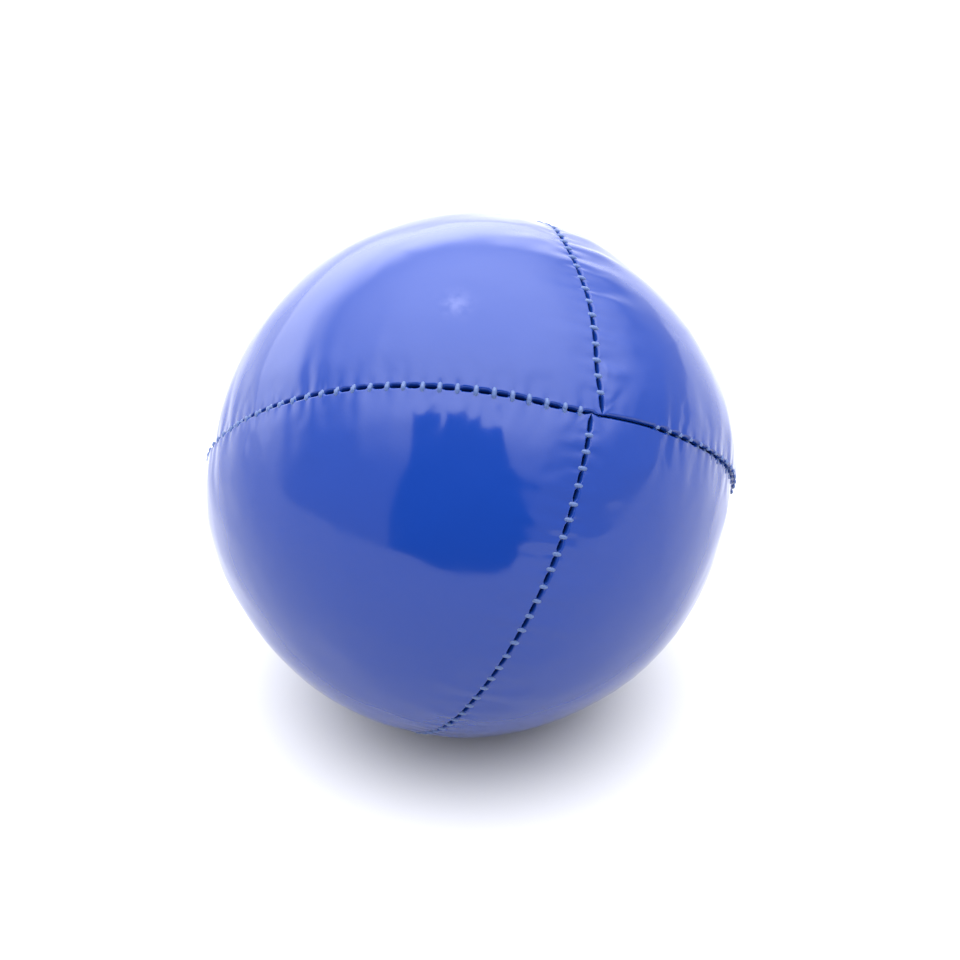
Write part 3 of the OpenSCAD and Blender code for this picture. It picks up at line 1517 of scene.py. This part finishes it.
@dataclass
class Studio:
    """White table in a white room, the camera, and a dark figure that only the gloss shows.

    Args:
        centre: The ball's centre.
        radius: The ball's radius.
        elevation: How far down the camera looks.
        distance: How far it stands from the ball's centre, in ball radii.
        ball_share: The ball's radius, where half the picture's width is 1.
        ball_left: How far left of the picture's middle the ball lies, in ball radii.
        ball_raised: How far above the picture's middle it lies, in ball radii.
        table_half: Half the table's width.
        table_grey: The table's colour.
        table_roughness: How dull the table is.
        walls: Strength of the light from all around.
        ceiling: Strength of the light from above.
        backdrop: Strength of the light from behind.
        overhead: Direction of the middle of the light from above.
        behind: Direction of the middle of the backdrop.
        horizon_share: How much of the backdrop's light is left at the horizon.
        tint: Colour of the light.
        screen_distance: How far the dark screen stands from the ball's centre.
        screen_glow: How much light the screen gives off.
        screen: The screen's outline, right and up from the ball as the camera sees it.
    """

    centre: Vector
    radius: float
    elevation: float = math.radians(35)
    distance: float = 12.0
    ball_share: float = 0.5473
    ball_left: float = 0.032
    ball_raised: float = 0.021
    table_half: float = 3.0
    table_grey: Colour = (0.55, 0.55, 0.555)
    table_roughness: float = 0.85
    walls: float = 1.05
    ceiling: float = 4.7
    backdrop: float = 3.8
    overhead: tuple[float, float, float] = (0.03, 0.14, 0.98)
    behind: tuple[float, float, float] = (-0.55, 0.83, 0.0)
    horizon_share: float = 0.7
    tint: Colour = (0.94, 0.95, 1.0)
    screen_distance: float = 0.33
    screen_glow: Colour = (0.03, 0.04, 0.06)
    screen: tuple[tuple[float, float], ...] = (
        (-0.100, 0.185), (0.045, 0.170), (0.095, 0.03), (0.160, -0.10), (0.145, -0.22),
        (0.090, -0.30), (-0.220, -0.24), (-0.170, -0.07), (-0.130, 0.02),
    )

    def build(self) -> None:
        """Sets up everything that isn't the ball."""
        self.table()
        self.room()
        self.camera()
        self.dark_screen()

    def table(self) -> None:
        """Makes the pale table top."""
        work = bmesh.new()
        bmesh.ops.create_grid(work, x_segments=1, y_segments=1, size=self.table_half)
        top = new_object("table_top", work)
        material, tree, shader = new_material("table_white")
        looks = {"Base Color": (*self.table_grey, 1), "Roughness": self.table_roughness}
        dress(tree, shader, looks)
        top.data.materials.append(material)
        top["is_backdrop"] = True

    def room(self) -> None:
        """Makes the room's light: soft from above, with a white backdrop behind and to the left."""
        world = bpy.data.worlds.new("white_room")
        world.use_nodes = True
        tree = Tree(world.node_tree)
        way = tree.node("ShaderNodeTexCoord", {}, {}, "Generated")
        up = way.parts()[2]
        above = tree.between(way, self.overhead, "DOT_PRODUCT").rise(0.36, 0.96)
        behind = tree.between(way, self.behind, "DOT_PRODUCT").rise(0.35, 0.85)
        behind = behind * (1.0 - up.rise(0.30, 0.65))
        behind = behind * tree.choose(up.rise(0.0, 0.25), self.horizon_share, 1.0)
        light = above.at_least(behind * (self.backdrop / self.ceiling)) * self.ceiling + self.walls
        shade = world.node_tree.nodes["Background"]
        dress(tree, shade, {"Color": (*self.tint, 1), "Strength": light})
        bpy.context.scene.world = world
        bpy.context.scene.view_settings.view_transform = "Standard"

    def axes(self) -> tuple[Vector, Vector, Vector]:
        """Finds the camera's directions.

        Returns:
            Right, up and backwards, as the camera has them.
        """
        back = Vector((0, -math.cos(self.elevation), math.sin(self.elevation)))
        right = Vector((1, 0, 0))
        return right, back.cross(right), back

    def camera(self) -> None:
        """Places the camera so that the ball fills its share of the picture."""
        data = bpy.data.cameras.new("camera")
        camera = bpy.data.objects.new("camera", data)
        bpy.context.scene.collection.objects.link(camera)
        spread = math.tan(math.asin(1 / self.distance)) / self.ball_share
        data.sensor_width = 36.0
        data.lens = data.sensor_width / 2 / spread
        data.clip_start = 0.01
        right, up, back = self.axes()
        aim = self.centre + (right * self.ball_left - up * self.ball_raised) * self.radius
        camera.location = aim + back * self.distance * self.radius
        camera.rotation_mode = "QUATERNION"
        camera.rotation_quaternion = (-back).to_track_quat("-Z", "Y")
        bpy.context.scene.camera = camera

    def dark_screen(self) -> None:
        """Stands a dark figure-shaped screen before the camera, which only the gloss shows."""
        right, up, back = self.axes()
        work = bmesh.new()
        middle = self.centre + back * self.screen_distance
        work.faces.new([work.verts.new(middle + right * x + up * y) for x, y in self.screen])
        card = new_object("dark_screen", work)
        material, tree, shader = new_material("dark_screen")
        looks = {
            "Base Color": (0.0, 0.0, 0.0, 1),
            "Specular IOR Level": 0.0,
            "Emission Color": (*self.screen_glow, 1),
            "Emission Strength": 1.0,
        }
        dress(tree, shader, looks)
        card.data.materials.append(material)
        card.visible_camera = False
        card.visible_diffuse = False
        card.visible_shadow = False
        card.visible_transmission = False
        card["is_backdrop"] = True


class JugglingBall:
    """The whole ball."""

    def __init__(self) -> None:
        """Takes the ball's place and size from the frame, and settles its cover."""
        low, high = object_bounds()
        radius = (high[0] - low[0]) / 2
        self.stitching = Stitching()
        gauge = CoverCloth(radius, Lay.twist, self.stitching).build()
        self.lay = Lay(Vector((0, 0, high[2] - radius)), radius, gauge=gauge)

    def build(self) -> None:
        """Makes every piece."""
        cover = GlossyLeathercloth().make()
        thread = SewingThread("seam_thread", (0.046, 0.088, 0.230)).make()
        closing = SewingThread("closing_thread", (0.015, 0.03, 0.12)).make()
        fold = Fold(math.radians(9.5), 0.9 * MM, 5.0 * MM, 0.28 * MM)
        for half in Half:
            for side in Side:
                folds = [fold] if half is Half.UPPER and side is Side.RIGHT else []
                Panel(self.lay, self.stitching, half, side, folds=folds).build(cover)
        for seam in Seam:
            for needle in (True, False):
                SeamThread(self.lay, self.stitching, seam, needle).build(thread)
        SeedFilling(self.lay).build(MilletSeed().make())
        for slot in bpy.data.objects["closing_thread"].material_slots:
            slot.material = closing
        if self.lay.gauge:
            bpy.data.objects.remove(self.lay.gauge)


def main() -> None:
    """Builds the ball and its studio."""
    logging.basicConfig(level=logging.INFO, format="%(message)s")
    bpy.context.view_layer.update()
    ball = JugglingBall()
    studio = Studio(ball.lay.centre, ball.lay.radius)
    studio.build()
    ball.build()
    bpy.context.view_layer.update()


if __name__ == "__main__":
    main()
